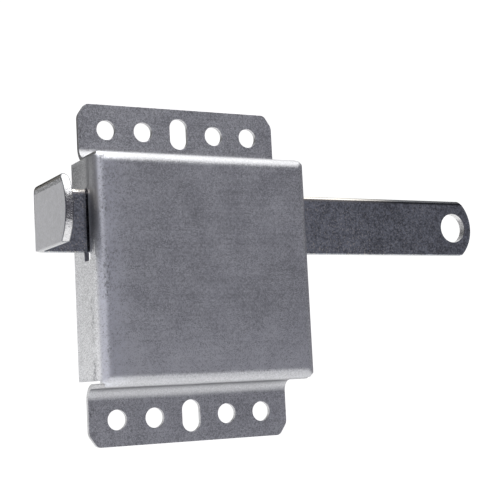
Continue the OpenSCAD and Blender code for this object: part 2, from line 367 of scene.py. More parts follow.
def galvanised_sheet(settings):
    """Rolled sheet with a matt zinc coat: clouds, fine grain, rolling lines and scuffed folds."""
    colours, sizes = settings.colours, settings.housing
    paint = Paint("galvanised_sheet")
    x, y, z = paint.axes()
    left, front, top = -sizes.box_width / 2, -sizes.box_depth, sizes.box_height / 2
    fold = sizes.fold_radius + sizes.sheet

    on_face = y.ramp(front + 0.004, front + 0.0015)
    clouds = paint.noise(0.032, 2.5, 0.5, twist=0.4)
    patches = paint.noise(0.009, 4.0, 0.6)
    grain = paint.noise(0.0008, 3.0, 0.65)
    dust = paint.noise(0.0004, 2.0, 0.6)
    rolling = paint.lines((35.0, 300.0, 1400.0), 3.0, 0.6)

    # The zinc's shades, paler low down as a painted glow of light from below, paler on the left, and
    # calmer on the top and bottom folds
    shade = clouds.swing(0.4) + patches.swing(0.45) + grain.swing(1.9)
    shade = shade + dust.swing(2.2) + rolling.swing(0.6)
    painted_glow_low_down = z.ramp(-0.010, -0.040) * (0.14 + on_face * 0.2)
    shade = shade + (painted_glow_low_down + x.ramp(-0.024, -0.038) * on_face * 0.2)
    on_folds = abs(z).ramp(top - 0.0045, top - 0.0025) * abs(z).ramp(top + 0.005, top + 0.0035)
    share = (shade * (1.0 - on_folds * 0.6) + 0.5).clamped()
    paint.shades(share, colours.sheet, 0.62, 1.3)

    tint = paint.noise(0.02, 3.0, 0.55, move=(0.3, 0.1, 0.7))
    paint.coat(tint.ramp(0.5, 0.72) * 0.15, colours.sheet_light_and_painted_highlight)

    # A painted highlight of lighter zinc beside the left fold
    beside_fold = x.ramp(left + 0.015, left + 0.003) * x.ramp(left + 0.0002, left + 0.002)
    painted_fold_highlight = beside_fold * on_face * (0.7 + patches.swing(0.8) + grain.swing(3.0))
    paint.coat(painted_fold_highlight.clamped(), colours.sheet_light_and_painted_highlight, 1.12)

    # Painted shade: a dark strip where the left wall's upper part runs into its fold
    strip = x.ramp(left + 0.0026, left + 0.0012) * y.ramp(front + 0.0090, front + 0.0060)
    strip = strip * z.ramp(0.006, 0.020) * (0.75 + grain.swing(1.5))
    paint.coat(strip.clamped(), colours.sheet_scuffs_and_painted_shade, 1.3)

    # Painted shade on the underside between the two bottom folds
    painted_shade_underside = z.ramp(0.001 - top, 0.0002 - top) * y.ramp(-0.0215, -0.0190)
    painted_shade_underside = painted_shade_underside * y.ramp(-0.003, -0.006)
    paint.coat(painted_shade_underside * 0.75, colours.sheet_scuffs_and_painted_shade, 0.8)

    # Sparse bright grains of the zinc
    sparks = paint.noise(0.0007, 1.0, 0.5, move=(0.4, 0.6, 0.2))
    paint.coat(sparks.ramp(0.72, 0.80) * 0.8, colours.sheet_light_and_painted_highlight)

    # Dark scuffs left by the folding tool along the left fold and on the wall behind it
    scuff_grain = paint.noise(0.0009, 4.0, 0.75, at=paint.stretched((1.0, 1.0, 0.5)))
    scuff_point = paint.stretched((0.2, 0.2, 1.0), (0.0, 0.0, 0.4))
    scuff_place = paint.noise(0.011, 3.0, 0.6, at=scuff_point)
    fold_scuffs = x.band(left + fold * 0.8, 0.0022) * scuff_place.ramp(0.46, 0.60)
    wall_smudges = x.ramp(left + 0.0012, left + 0.0004) * y.band(front + 0.0062, 0.003)
    wall_smudges = wall_smudges * scuff_place.ramp(0.56, 0.44)
    scuffs = (fold_scuffs + wall_smudges) * scuff_grain.ramp(0.50, 0.58)
    paint.coat((scuffs * 0.85).clamped(), colours.sheet_scuffs_and_painted_shade)

    # Short bright scratches
    scratch_lines = paint.lines((120.0, 300.0, 5200.0), 1.0, 0.5)
    scratch_place = paint.noise(0.016, 2.0, 0.5, move=(0.9, 0.0, 0.2))
    scratches = scratch_lines.ramp(0.70, 0.76) * scratch_place.ramp(0.52, 0.62)
    paint.coat(scratches * 0.7, colours.sheet_light_and_painted_highlight)

    roughness = 0.40 + patches.swing(0.16) + grain.swing(0.16) + scuffs * 0.15 + on_folds * 0.12
    roughness = (roughness - scratches * 0.1).clamped()
    soft = paint.bump(clouds, 0.25, 0.0006)
    fine = paint.bump(grain + rolling * 0.4 - scuffs * 0.8, 0.35, 0.00006, soft)
    return paint.metal(roughness, fine)


def sheared_edge(name, base_colour):
    """A cut edge of the sheet, with fine lines across its thickness."""
    paint = Paint(name)
    lines = paint.lines((2600.0, 500.0, 2600.0), 2.0, 0.6)
    worn = paint.noise(0.003)
    share = (lines * 0.6 + worn * 0.4).ramp(0.3, 0.7)
    paint.shades(share, base_colour, 0.7, 1.2)
    return paint.metal(0.28 + lines * 0.2, paint.bump(lines, 0.3, 0.00005))


def plated_bar(settings):
    """Rolled bar under thin dark plating: blotches, warm specks and long faint scratches."""
    colours, sizes = settings.colours, settings.bolt
    paint = Paint("zinc_plated_bar")
    x, y, z = paint.axes()
    blotches = paint.noise(0.022, 3.0, 0.55, twist=0.5)
    mottle = paint.noise(0.004, 4.0, 0.6)
    grain = paint.noise(0.0008, 3.0, 0.7)
    specks = paint.noise(0.0007, 2.0, 0.6, move=(0.5, 0.2, 0.1))
    lines = paint.lines((60.0, 200.0, 2800.0), 2.0, 0.5)

    shade = blotches.swing(0.9) + mottle.swing(1.2) + grain.swing(3.6)
    on_tab = x.ramp(BOLT_LOW.x + 0.0012, BOLT_LOW.x + 0.0006)
    shade = shade * (1.0 - on_tab * 0.5) + x.ramp(0.085, 0.055) * 0.16
    share = (shade + 0.5).clamped()
    paint.shades(share, colours.bar, 0.5, 1.55)
    # The tab's face in a tone of its own, a painted reflection
    paint.coat(on_tab * 0.6, colours.tab)
    many = blotches.ramp(0.35, 0.65) + z.ramp(0.014, 0.006) * 0.6
    many = (many * x.ramp(0.13, 0.06)).clamped()
    speck = specks.ramp(0.55, 0.64) * (0.35 + many * 0.65) * (1.0 - on_tab)
    paint.coat(speck, colours.bar_speck_and_painted_highlight)
    scratch = lines.ramp(0.68, 0.76) * mottle.ramp(0.45, 0.6)
    paint.coat(scratch * 0.5, colours.bar_speck_and_painted_highlight, 0.9)

    # Painted highlight along the bar's upper edge, bright on the left and fainter further right,
    # with painted shade at the right end
    edge = z.ramp(BOLT_HIGH.z - sizes.crown_top, BOLT_HIGH.z - sizes.crown_top * 0.6)
    bright, dull = scaled(colours.bar_speck_and_painted_highlight, 1.25), scaled(colours.bar_speck_and_painted_highlight, 0.75)
    worn = paint.mix(x.ramp(-0.03, 0.04), bright, dull)
    worn = paint.mix(x.ramp(0.065, 0.100), worn, scaled(colours.bar, 0.2))
    paint.base = paint.mix(edge, paint.base, worn)

    # The dull rim around the tab's sheared end
    rise = z - (BOLT_LOW.z + BOLT_HIGH.z) / 2
    drop = sizes.end_radius - (sizes.end_radius ** 2 - rise * rise).math("SQRT")
    rim = (y - BOLT_LOW.y - drop).ramp(sizes.edge_round * 1.6, sizes.edge_round * 1.2)
    paint.coat(rim, colours.bar, 0.7)

    # A darker, speckled band along the tab's upper edge
    band_edge = z + mottle.swing(0.0008) + specks.swing(0.0012)
    band = band_edge.ramp(BOLT_HIGH.z - 0.0036, BOLT_HIGH.z - 0.0034) * on_tab
    band_share = (0.72 + specks.swing(5.0)) * (1.0 - edge)
    paint.coat(band * band_share.clamped(), colours.bar, 0.18)

    roughness = (0.13 + mottle.swing(0.08) + speck * 0.1 + grain.swing(0.06)).clamped()
    height = grain * 0.6 + speck * 0.6 + lines * 0.3 + band * grain * 2.0
    normal = paint.bump(height, 0.4, 0.00005)
    return paint.metal(roughness, normal)


def sheared_bar(settings):
    """The sheared ends of the bar: torn, coarse grain under the same plating."""
    colours, sizes = settings.colours, settings.bolt
    paint = Paint("sheared_bar_end")
    x, _, z = paint.axes()
    torn = paint.noise(0.0007, 3.0, 0.7)
    pits = paint.noise(0.0004, 2.0, 0.6, move=(0.2, 0.7, 0.4))
    share = (torn.swing(1.2) + pits.swing(1.2) + 0.6).clamped()
    # The near-white ends are partly a painted highlight on the cut steel
    paint.shades(share, colours.bar_end, 0.6, 1.15)

    # The shear tore the middle of the cut and left the rest smooth
    rough_z = z + torn.swing(0.005)
    below = rough_z.ramp(BOLT_HIGH.z - 0.0076, BOLT_HIGH.z - 0.0084)
    torn_part = below * rough_z.ramp(BOLT_HIGH.z - 0.0178, BOLT_HIGH.z - 0.0170)
    torn_share = torn_part * (0.8 + pits.swing(4.0))
    paint.coat(torn_share.clamped(), colours.bar_end, 0.28)

    # Painted shade: a dark outline where the tab's crowned upper edge meets the cut
    across = (x - BOLT_LOW.x - sizes.bar / 2) / (sizes.bar / 2)
    up = ((z - BOLT_HIGH.z + sizes.crown_top) / sizes.crown_top).math("MAXIMUM", 0.0)
    outline = (across * across + up * up).ramp(0.50, 0.62) * x.ramp(0.0, -0.01)
    paint.coat(outline * 0.85, colours.bar_end, 0.18)

    roughness = (0.12 + torn.swing(0.1)).clamped()
    return paint.metal(roughness, paint.bump(torn + pits * 0.8, 1.0, 0.00016))


def plain_metal(name, base_colour, size, rough):
    """A small part's finish: gentle clouds, fine grain and turning marks."""
    paint = Paint(name)
    clouds = paint.noise(size)
    grain = paint.noise(size / 8, 3.0, 0.65)
    share = (clouds.swing(1.1) + grain.swing(0.8) + 0.5).clamped()
    paint.shades(share, base_colour, 0.65, 1.3)
    roughness = (rough + grain.swing(0.2) + clouds.swing(0.15)).clamped()
    return paint.metal(roughness, paint.bump(grain, 0.3, 0.00005))


def backdrop_white(name, colours):
    """Pale studio paper that the camera and reflections see as white, with the lock's shadow."""
    glow_when_seen, more_for_camera = 0.42, 0.2
    paint = Paint(name)
    fibres = paint.noise(0.002, 3.0, 0.6)
    paint.shades(fibres.ramp(0.2, 0.8), colours.backdrop, 0.98, 1.0)
    paper = paint.node("BsdfDiffuse", None, {"Color": paint.base})
    camera_rays = paint.node("LightPath", output="Is Camera Ray")
    strength = seen_directly(paint) * glow_when_seen + camera_rays * more_for_camera
    glow = paint.node("Emission", None, {"Color": (1, 1, 1, 1), "Strength": strength})
    return paint.done(paint.node("AddShader", None, {0: paper, 1: glow}))


def seen_directly(paint):
    """1 for rays of the camera, of reflections and through glass, otherwise 0."""
    rays = [
        paint.node("LightPath", output=name)
        for name in ("Is Camera Ray", "Is Glossy Ray", "Is Transmission Ray")
    ]
    return (rays[0] + rays[1] + rays[2]).clamped()


def grey_card(name, level, blue):
    """A matt grey studio card; blue is its blue part for one part of red and green."""
    paint = Paint(name)
    return paint.done(paint.node("Emission", None, {"Color": (level, level, level * blue, 1)}))


class Drawn:
    """The open end of a mesh that grows by straight runs and bends."""

    def __init__(self, bm, end):
        self.bm = bm
        self.end = list(end)

    def grow(self, **spin):
        """Spins the end without a merge and keeps what it became."""
        made = bmesh.ops.spin(
            self.bm, geom=self.end, use_merge=False, use_duplicate=False, **spin
        )
        self.end = made["geom_last"]

    def turn(self, centre, axis, angle, steps):
        """Grows the end round an axis and returns all the new vertices."""
        before = len(self.bm.verts)
        self.grow(cent=centre, axis=axis, dvec=(0, 0, 0), angle=angle, steps=steps)
        return list(self.bm.verts)[before:]

    def run(self, along):
        """Grows the end along a straight line."""
        self.grow(cent=(0, 0, 0), axis=(0, 0, 1), dvec=along, angle=0.0, steps=1)

    def place(self):
        """Where the end's first vertex is."""
        return next(g for g in self.end if isinstance(g, bmesh.types.BMVert)).co


def drawn_from(bm, first, second):
    """The straight edge that a strip or sheet grows from."""
    ends = [bm.verts.new(first), bm.verts.new(second)]
    return Drawn(bm, [bm.edges.new(ends), *ends])


def near(first, second):
    """Whether two lengths are the same, apart from rounding."""
    return abs(first - second) < MERGE_DISTANCE


def along_axis(axis, reach):
    """A vector of that reach along axis 0, 1 or 2."""
    vector = Vector()
    vector[axis] = reach
    return vector


def with_verts(edges):
    """The edges together with their vertices."""
    return [*edges, *dict.fromkeys(v for e in edges for v in e.verts)]


def merge_doubles(bm):
    """Merges the vertices that lie in one place."""
    bmesh.ops.remove_doubles(bm, verts=bm.verts, dist=MERGE_DISTANCE)


def join_flat(bm):
    """Joins flat neighbours into one face."""
    bmesh.ops.dissolve_limit(
        bm, angle_limit=FLAT_ANGLE, verts=bm.verts, edges=bm.edges, delimit={"MATERIAL"}
    )


def divide(bm, place, normal, geom=None):
    """Draws a row of edges where a plane meets the mesh, or that part of it."""
    made = bmesh.ops.bisect_plane(
        bm, geom=geom or [*bm.verts, *bm.edges, *bm.faces], dist=MERGE_DISTANCE,
        plane_co=place, plane_no=normal,
    )
    return made["geom"]


def bevel_corners(bm, corners, reach, segments):
    """Cuts or rounds the corners of a flat outline and returns the new vertices."""
    made = bmesh.ops.bevel(
        bm, geom=corners, offset=reach, offset_type="OFFSET", affect="VERTICES",
        segments=segments, profile=0.5, material=-1,
    )
    return made["verts"]


def rectangle(bm, size_a, size_b, matrix):
    """A flat rectangle about the matrix's origin, in its x and y."""
    scale = Matrix.Diagonal((size_a / 2, size_b / 2, 1, 1))
    made = bmesh.ops.create_grid(bm, x_segments=1, y_segments=1, size=1, matrix=matrix @ scale)
    return made["verts"]


def facing(place, axis):
    """A matrix at a place whose z is along y or x; its x and y span the plane across it."""
    turn = Matrix.Rotation(math.radians(90), 4, "X" if axis == "Y" else "Y")
    return Matrix.Translation(place) @ turn


def aimed(place, way):
    """A matrix at a place whose z points that way and whose y is as upright as it can be."""
    return Matrix.Translation(place) @ Vector(way).to_track_quat("Z", "Y").to_matrix().to_4x4()


def rod(bm, matrix, radius, depth, sides):
    """A round cutter about the matrix's origin, along its z."""
    made = bmesh.ops.create_cone(
        bm, cap_ends=True, segments=sides, radius1=radius, radius2=radius, depth=depth,
        matrix=matrix,
    )
    return made["verts"]


def pin(bm, place, axis, radius, depth, sides=ROUND_HOLE_SIDES, stretch=0.0):
    """A round cutter through a place, or one with a straight middle of that length along z."""
    for v in rod(bm, facing(place, axis), radius, depth, sides):
        v.co.z += math.copysign(stretch / 2, v.co.z - place[2])


def linked(name, data):
    """A new object of that data, in the scene."""
    made = bpy.data.objects.new(name, data)
    bpy.context.scene.collection.objects.link(made)
    return made


def add_object(name, bm, *finishes):
    """Ends a bmesh in a new object at the origin, with its materials."""
    bmesh.ops.recalc_face_normals(bm, faces=bm.faces)
    mesh = bpy.data.meshes.new(name)
    bm.to_mesh(mesh)
    bm.free()
    for finish in finishes:
        mesh.materials.append(finish)
    return linked(name, mesh)


def apply_modifier(piece, kind, **settings):
    """Adds a modifier with those settings and applies it."""
    modifier = piece.modifiers.new(kind.lower(), kind)
    for key, value in settings.items():
        setattr(modifier, key, value)
    with bpy.context.temp_override(object=piece, active_object=piece, selected_objects=[piece]):
        bpy.ops.object.modifier_apply(modifier=modifier.name)


def cut_away(piece, cutter_bm, *finish, crossing=False):
    """Cuts a form, whose faces may cross, out of the piece; the cut faces take its finish."""
    cutter = add_object("cutter", cutter_bm, *finish)
    apply_modifier(
        piece, "BOOLEAN", operation="DIFFERENCE", solver="EXACT", object=cutter,
        material_mode="TRANSFER", use_self=crossing,
    )
    mesh = cutter.data
    bpy.data.objects.remove(cutter)
    bpy.data.meshes.remove(mesh)


def tidy_faces(piece):
    """Merges what a cut leaves doubled and joins flat neighbours."""
    bm = bmesh.new()
    bm.from_mesh(piece.data)
    merge_doubles(bm)
    join_flat(bm)
    bm.to_mesh(piece.data)
    bm.free()


def round_edges(piece, width, segments=2, wanted=lambda edge: True):
    """Rounds the sharp edges that are wanted and shades the piece smooth."""
    bm = bmesh.new()
    bm.from_mesh(piece.data)
    weight = bm.edges.layers.float.new("bevel_weight_edge")
    for edge in bm.edges:
        if edge.is_manifold and edge.calc_face_angle() > SHARP_ANGLE and wanted(edge):
            edge[weight] = 1.0
    bm.to_mesh(piece.data)
    bm.free()
    apply_modifier(
        piece, "BEVEL", width=width, segments=segments, limit_method="WEIGHT", profile=0.5,
        use_clamp_overlap=False, loop_slide=False, harden_normals=False, material=-1,
    )
    piece.data.shade_smooth()
    apply_modifier(piece, "WEIGHTED_NORMAL", keep_sharp=True, weight=80)


def middle_of(edge):
    """The place of an edge's middle."""
    return (edge.verts[0].co + edge.verts[1].co) / 2


def seat(piece, body, node):
    """Hands the finished piece to the frame: its body and the node it stands for."""
    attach(piece, body)
    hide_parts(node)


def fold_sheet(bm, sizes):
    """The housing's outer face as one folded sheet, without thickness."""
    out = sizes.fold_radius + sizes.sheet
    flat = (sizes.box_width / 2 - out, 0, sizes.box_height / 2 - out)
    front = -sizes.box_depth
    fold_y = front + out
    notch_angle = math.acos(sizes.notch_depth / out)

    def hinge(along, sign):
        """The line that a side folds round: a point and its direction."""
        centre = along_axis(along, sign * flat[along])
        centre.y = fold_y
        return centre, ((-1, 0, 0) if along else (0, 0, 1))

    # The front panel, and its folds as far as the corner reliefs
    rectangle(bm, 2 * flat[0], 2 * flat[2], facing((0, front, 0), "Y"))
    for along, sign in SIDES:
        across = 2 - along
        edges = [
            e for e in bm.edges
            if all(near(v.co.y, front) and near(v.co[along], sign * flat[along]) for v in e.verts)
        ]
        fold = Drawn(bm, with_verts(edges))
        for v in fold.turn(*hinge(along, sign), sign * notch_angle, BEND_STEPS):
            v.co[across] += math.copysign(abs(v.co[along]) - flat[along], v.co[across])
    merge_doubles(bm)
    steps = range(0, BEND_STEPS, 2)
    rows = [out * math.sin(notch_angle * step / BEND_STEPS) for step in steps]
    draw_corners(bm, flat, rows, sizes.corner_share)

    # Each side loses its corners and runs on by itself
    notch_y = max(v.co.y for v in bm.verts)
    keep_x, keep_z = sizes.flange_width / 2, sizes.wall_end
    straight = max(keep_x - flat[0], keep_z - flat[2])
    columns = [
        e for v in bm.verts for e in v.link_edges
        if near(v.co.y, notch_y) and not e.is_boundary
        and min(abs(v.co.x) - flat[0], abs(v.co.z) - flat[2]) < straight
    ]
    bmesh.ops.dissolve_edges(bm, edges=columns, use_verts=True)
    limits = {0: (-keep_z, keep_z + sizes.wall_rise), 2: (-keep_x, keep_x)}
    for along, sign in SIDES:
        across = 2 - along
        low_end, high_end = limits[along]

        def at_end(v):
            past, past_other = (abs(v.co[i]) - flat[i] for i in (along, across))
            on_side = v.co[along] * sign > 0 and past > past_other - MERGE_DISTANCE
            return on_side and near(v.co.y, notch_y)

        def kept(v):
            return low_end - MERGE_DISTANCE < v.co[across] < high_end + MERGE_DISTANCE

        last = [f for f in bm.faces if sum(at_end(v) for v in f.verts) == 2]
        for limit in (low_end, high_end):
            geom = dict.fromkeys(g for f in last for g in (f, *f.edges, *f.verts))
            cut = divide(bm, along_axis(across, limit), along_axis(across, 1), list(geom))
            last = [g for g in cut if isinstance(g, bmesh.types.BMFace)]
        ends = [
            e for e in bm.edges
            if e.is_boundary and all(at_end(v) and kept(v) for v in e.verts)
        ]
        sheet = Drawn(bm, with_verts(ends))
        sheet.turn(*hinge(along, sign), sign * (math.pi / 2 - notch_angle), BEND_REST_STEPS)
        if along:
            fold_end = -sizes.sheet - sizes.flange_fold
            sheet.run((0, fold_end - fold_y, 0))
            wall_z = sizes.box_height / 2 + sizes.flange_fold
            centre = (0, fold_end, sign * wall_z)
            sheet.turn(centre, (1, 0, 0), sign * math.pi / 2, WIDE_BEND_STEPS)
            sheet.run((0, 0, sign * (HOUSING_HIGH.z - wall_z)))
        else:
            sheet.run((0, -sizes.wall_short - fold_y, 0))
    merge_doubles(bm)
    cut_flange_corners(bm, sizes)


def draw_corners(bm, flat, rows, share):
    """Rounds the four mitred corners by arcs, as if they were drawn."""
    for past in rows:
        for along, sign in SIDES:
            divide(bm, along_axis(along, sign * (flat[along] + past)), along_axis(along, sign))
    for v in bm.verts:
        past_x, past_z = abs(v.co.x) - flat[0], abs(v.co.z) - flat[2]
        major, minor = max(past_x, past_z), min(past_x, past_z)
        radius = major * share
        straight = major - radius
        if minor > straight + MERGE_DISTANCE:
            angle = math.pi / 4 * (minor - straight) / radius
            major, minor = straight + radius * math.cos(angle), straight + radius * math.sin(angle)
            past_x, past_z = (major, minor) if past_x > past_z else (minor, major)
            v.co.x = math.copysign(flat[0] + past_x, v.co.x)
            v.co.z = math.copysign(flat[2] + past_z, v.co.z)


def cut_flange_corners(bm, sizes):
    """Cuts the flanges' outer corners at a slant and rounds both ends of each cut."""
    top = HOUSING_HIGH.z
    corners = [v for v in bm.verts if abs(v.co.z) > top - MERGE_DISTANCE]
    corners = bevel_corners(bm, corners, sizes.flange_corner, 1)
    for v in corners:
        if abs(v.co.z) < top - MERGE_DISTANCE:
            v.co.z = math.copysign(top - sizes.flange_corner_rise, v.co.z)
    bevel_corners(bm, corners, sizes.corner_round, CORNER_STEPS)


def hole_cutters(bm, sizes):
    """Both rows of screw holes, each with a slotted one in its middle."""
    depth = 2 * (sizes.sheet + CUT_MARGIN)
    for side in (1, -1):
        for i in range(-sizes.hole_side, sizes.hole_side + 1):
            place = (i * sizes.hole_pitch, -sizes.sheet / 2, side * sizes.hole_rise)
            stretch = 0.0 if i else sizes.slot - sizes.hole
            pin(bm, place, "Y", sizes.hole / 2, depth, stretch=stretch)


def guide_cutter(bm, sizes, bar_y):
    """One bar through both side walls, for the guide slots."""
    middle = (sizes.guide_low + sizes.guide_high) / 2
    corners = rectangle(
        bm, sizes.guide_high - sizes.guide_low, 2 * sizes.guide_half,
        facing((-sizes.box_width, bar_y, middle), "X"),
    )
    bevel_corners(bm, corners, sizes.guide_corner, CORNER_STEPS)
    Drawn(bm, [*bm.faces, *bm.edges, *bm.verts]).run((2 * sizes.box_width, 0, 0))


def spring_hole_cutters(bm, small):
    """Holes for the two spring rivets through the right wall and the spring's leg."""
    middle = (SPRING_RIVETS_LOW + SPRING_RIVETS_HIGH) / 2
    radius = small.rivet / 2 + RIVET_CLEARANCE
    for side in (0.5, -0.5):
        place = (middle.x, middle.y, middle.z + side * small.rivet_pitch)
        pin(bm, place, "X", radius, SPRING_CUT, sides=SMALL_HOLE_SIDES)


def relief_cutters(bm, sizes):
    """Punched round ends of the four corner reliefs."""
    out = sizes.fold_radius + sizes.sheet
    place = Vector((
        (sizes.flange_width / 2 + sizes.box_width / 2) / 2,
        -sizes.box_depth + out - sizes.notch_depth,
        (sizes.wall_end + sizes.box_height / 2) / 2,
    ))
    for side_x in (1, -1):
        for side_z in (1, -1):
            corner = Vector((place.x * side_x, place.y, place.z * side_z))
            turn = Matrix.Rotation(math.radians(45) * side_x * side_z, 4, "Y")
            matrix = Matrix.Translation(corner) @ turn
            rod(bm, matrix, sizes.notch_radius, 4 * out, SMALL_HOLE_SIDES)


class SLIDELOCK_OT_housing(Operator):
    """Folds the housing from one sheet and punches its holes"""

    bl_idname = "slidelock.housing"
    bl_label = "Housing"
    bl_options = {"REGISTER", "UNDO"}

    def execute(self, context):
        settings = context.scene.slide_lock
        sizes = settings.housing
        bm = bmesh.new()
        fold_sheet(bm, sizes)
        zinc = galvanised_sheet(settings)
        bare = sheared_edge("sheared_edge", settings.colours.sheared)
        # The guide slots' edges are dark as painted shade inside the slots
        dark = sheared_edge("shaded_slot_edge", settings.colours.slot)
        housing = add_object("folded_housing", bm, zinc, bare)
        if housing.data.polygons[0].normal.y > 0:
            housing.data.flip_normals()
        apply_modifier(
            housing, "SOLIDIFY", thickness=sizes.sheet, offset=-1.0, use_even_offset=True,
            use_quality_normals=True, use_rim=True, material_offset_rim=1,
        )
        bar_y = BOLT_HIGH.y - settings.bolt.bar / 2
        for draw, arguments, finish in (
            (hole_cutters, (sizes,), bare),
            (guide_cutter, (sizes, bar_y), dark),
            (spring_hole_cutters, (settings.small,), bare),
            (relief_cutters, (sizes,), bare),
        ):
            cutter = bmesh.new()
            draw(cutter, *arguments)
            cut_away(housing, cutter, finish, crossing=draw is relief_cutters)
        tidy_faces(housing)

        fold_end = -sizes.box_depth + sizes.fold_radius + sizes.sheet
        relief_x = sizes.flange_width / 2 - RELIEF_MARGIN
        relief_z = sizes.wall_end - RELIEF_MARGIN

        def clear_of_reliefs(edge):
            place = middle_of(edge)
            return not (place.y < fold_end and abs(place.x) > relief_x and abs(place.z) > relief_z)

        round_edges(housing, sizes.edge_round, wanted=clear_of_reliefs)
        seat(housing, "lock_body", "housing")
        return {"FINISHED"}


class SLIDELOCK_OT_bolt(Operator):
    """Draws the bar, bends its finger tab and rounds both ends"""

    ROWS = 22
    CROWN_STEPS = 6
    EDGE_STEPS = 3

    bl_idname = "slidelock.bolt"
    bl_label = "Slide Bolt"
    bl_options = {"REGISTER", "UNDO"}

    def execute(self, context):
        settings = context.scene.slide_lock
        sizes = settings.bolt
        bar_y, mid_z = BOLT_HIGH.y - sizes.bar / 2, (BOLT_LOW.z + BOLT_HIGH.z) / 2
        bm = bmesh.new()
        self.draw_section(bm, sizes, bar_y, mid_z)
        self.draw_bar(bm, sizes)
        self.shape_ends(bm, sizes, mid_z)
        join_flat(bm)
        bolt = add_object("bent_bolt", bm, plated_bar(settings), sheared_bar(settings))

        padlock_x, stop_x = BOLT_HIGH.x - sizes.padlock_in, (STOP_LOW.x + STOP_HIGH.x) / 2
        padlock, stop = sizes.padlock_hole / 2, settings.small.stop_shank / 2 + RIVET_CLEARANCE
        depth = sizes.bar + 2 * CUT_MARGIN
        holes = bmesh.new()
        pin(holes, (padlock_x, bar_y, mid_z), "Y", padlock, depth, PADLOCK_HOLE_SIDES)
        pin(holes, (stop_x, bar_y, mid_z), "Y", stop, depth)
        cut_away(bolt, holes, bolt.data.materials[1])
        tidy_faces(bolt)

        def round_a_hole(edge):
            place = middle_of(edge)
            return any(
                math.hypot(place.x - hole_x, place.z - mid_z) < radius + sizes.hole_round
                for hole_x, radius in ((padlock_x, padlock), (stop_x, stop))
            )

        round_edges(bolt, sizes.hole_round, wanted=round_a_hole)
        seat(bolt, "bolt", "slide_bolt")
        return {"FINISHED"}

    def draw_section(self, bm, sizes, bar_y, mid_z):
        """The bar's section at its tip: flat sides in rows, between an upper and a lower crown."""
        height = BOLT_HIGH.z - BOLT_LOW.z
        section = facing((BOLT_HIGH.x, bar_y, mid_z), "X")
        corners = rectangle(bm, height, sizes.bar, section)
        bevel_corners(bm, corners, sizes.bar / 2, self.CROWN_STEPS)
        merge_doubles(bm)
        flat_low, flat_high = BOLT_LOW.z + sizes.crown_bottom, BOLT_HIGH.z - sizes.crown_top
        for v in bm.verts:
            past_flat = (abs(v.co.z - mid_z) - (height - sizes.bar) / 2) / (sizes.bar / 2)
            if v.co.z > mid_z:
                v.co.z = flat_high + past_flat * sizes.crown_top
            else:
                v.co.z = flat_low - past_flat * sizes.crown_bottom
        for row in range(self.ROWS + 1):
            row_z = flat_low + (flat_high - flat_low) * row / self.ROWS
            divide(bm, (0, 0, row_z), (0, 0, 1))

    @staticmethod
    def draw_bar(bm, sizes):
        """Draws the section along the bar, round the bend and along the tab."""
        bend_out = sizes.bend + sizes.bar
        bend_x, bend_y = BOLT_LOW.x + bend_out, BOLT_HIGH.y - bend_out
        edge = sizes.edge_round
        bar = Drawn(bm, [*bm.faces, *bm.edges, *bm.verts])
        bar.run((bend_x - BOLT_HIGH.x, 0, 0))
        bar.turn((bend_x, bend_y, 0), (0, 0, 1), math.pi / 2, BEND_STEPS)
        bar.run((0, BOLT_LOW.y - bend_y + edge, 0))
        tip = [v for v in bm.verts if v.co.x > BOLT_HIGH.x - MERGE_DISTANCE]
        bmesh.ops.translate(bm, verts=tip, vec=(-edge, 0, 0))
        bmesh.ops.recalc_face_normals(bm, faces=bm.faces)

    def shape_ends(self, bm, sizes, mid_z):
        """Rounds both ends' edges, marks them as sheared and sets them back to their arcs."""
        edge = sizes.edge_round

        def at_tip(v):
            return v.co.x > BOLT_HIGH.x - edge - MERGE_DISTANCE

        def at_tab_end(v):
            return v.co.y < BOLT_LOW.y + edge + MERGE_DISTANCE

        def drop(v):
            rise = v.co.z - mid_z
            return sizes.end_radius - math.sqrt(max(0.0, sizes.end_radius ** 2 - rise ** 2))

        for at_end in (at_tip, at_tab_end):
            end = [f for f in bm.faces if all(at_end(v) for v in f.verts)]
            for step in range(self.EDGE_STEPS):
                from_, to = (math.pi / 2 * (step + k) / self.EDGE_STEPS for k in (0, 1))
                bmesh.ops.inset_region(
                    bm, faces=end, use_boundary=True, use_even_offset=True,
                    thickness=edge * (math.cos(from_) - math.cos(to)),
                    depth=edge * (math.sin(to) - math.sin(from_)),
                )
            for face in end:
                face.material_index = 1
        for v in bm.verts:
            if at_tip(v):
                v.co.x -= drop(v)
            elif at_tab_end(v):
                v.co.y += drop(v)


def ball_radius(reach, rise):
    """The radius of the ball that a head of that reach and rise is a part of."""
    return (reach * reach + rise * rise) / (2 * rise)


def domed_profile(bm, start, reach, rise, out):
    """A rivet head's profile from its crown to its rim; out is the way that the crown points."""
    ball = ball_radius(reach, rise)
    line = Drawn(bm, [bm.verts.new(start)])
    angle = math.asin(min(1.0, reach / ball))
    line.turn(start - out * ball, out.orthogonal(), angle, DOME_STEPS)
    return line


def outward(line, place, axis):
    """The direction from a turned part's axis to the line's end."""
    reach = line.place() - place
    reach[axis] = 0
    return reach.normalized()


def turned(bm, place, axis, steps):
    """Spins the profile that was drawn into a closed turned part."""
    bmesh.ops.spin(
        bm, geom=[*bm.verts, *bm.edges], cent=place, axis=axis, dvec=(0, 0, 0),
        angle=2 * math.pi, steps=steps, use_merge=True, use_duplicate=False,
    )
    merge_doubles(bm)


